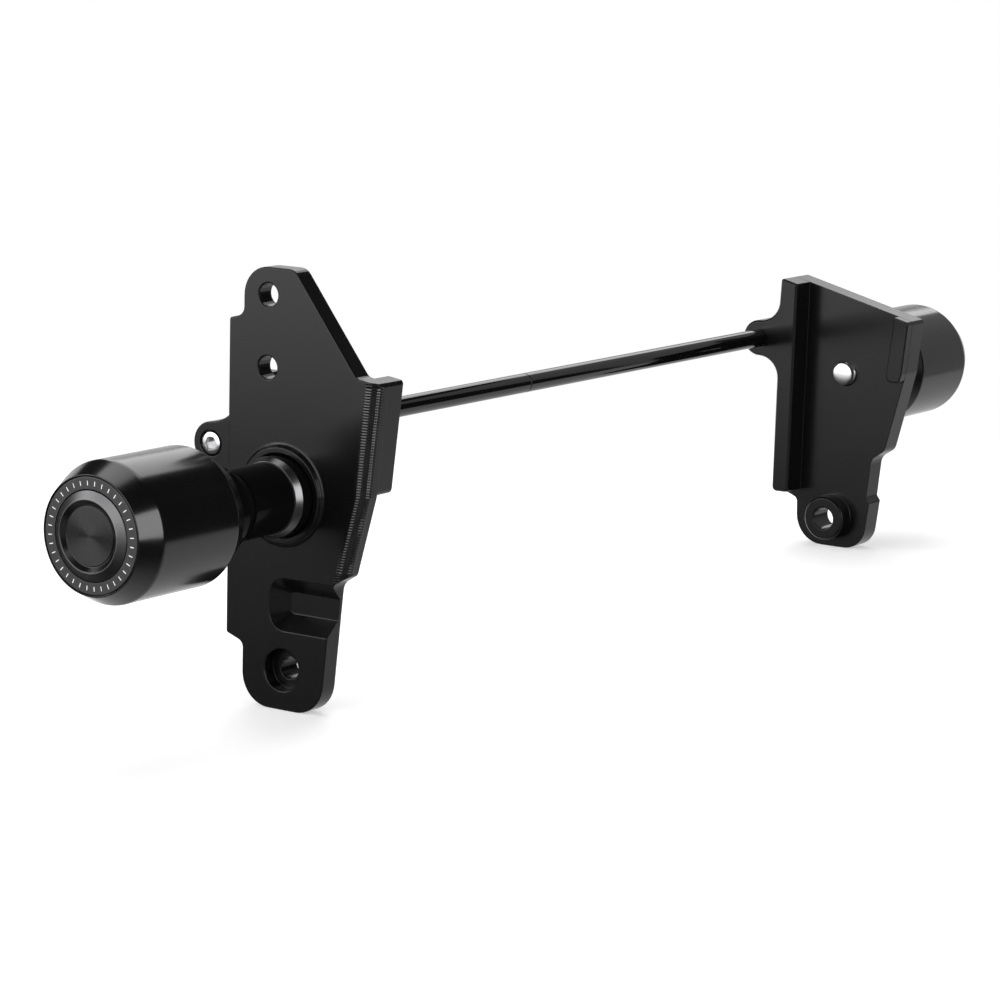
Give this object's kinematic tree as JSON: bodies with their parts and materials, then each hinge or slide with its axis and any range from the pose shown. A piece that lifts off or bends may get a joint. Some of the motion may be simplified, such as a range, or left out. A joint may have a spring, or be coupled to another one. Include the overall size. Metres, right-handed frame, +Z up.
{
  "type": "motorcycle frame slider",
  "caption": "Pair of frame plates, each with a crash puck on a spacer, tied together by a slim cross rod.",
  "frame": {"origin": "centre of the box round the whole kit, half way between the two plates", "axes": "+X across the motorcycle to its right plate, +Y along it towards the rod's side, +Z up"},
  "size_m": [0.595, 0.0874, 0.1604],
  "materials": {
    "plate_anodised": "milled aluminium, satin black anodised",
    "puck_nylon": "turned black nylon, polished",
    "ring_anodised": "turned aluminium, satin black anodised, with white tick marks",
    "cap_anodised": "turned aluminium, black anodised, fine turning lines",
    "spacer_anodised": "turned aluminium, glossy black anodised",
    "plated_steel": "zinc plated steel",
    "stainless": "bright stainless steel",
    "rod_black": "glossy black coating on steel"
  },
  "bodies": {
    "root": {"left_plate": "plate_anodised", "left_puck": "puck_nylon", "left_end_ring": "ring_anodised", "left_end_cap": "cap_anodised", "left_inner_sleeve": "plated_steel", "left_bolt_washer": "plated_steel", "left_spacer": "spacer_anodised", "left_slider_bolt": "stainless", "left_ear_screw": "stainless", "left_rod": "rod_black", "right_plate": "plate_anodised", "right_puck": "puck_nylon", "right_end_ring": "ring_anodised", "right_end_cap": "cap_anodised", "right_inner_sleeve": "plated_steel", "right_bolt_washer": "plated_steel", "right_spacer": "spacer_anodised", "right_slider_bolt": "stainless", "right_ear_screw": "stainless", "right_rod": "rod_black", "rod_joining_stud": "plated_steel"}
  },
  "joints": []
}
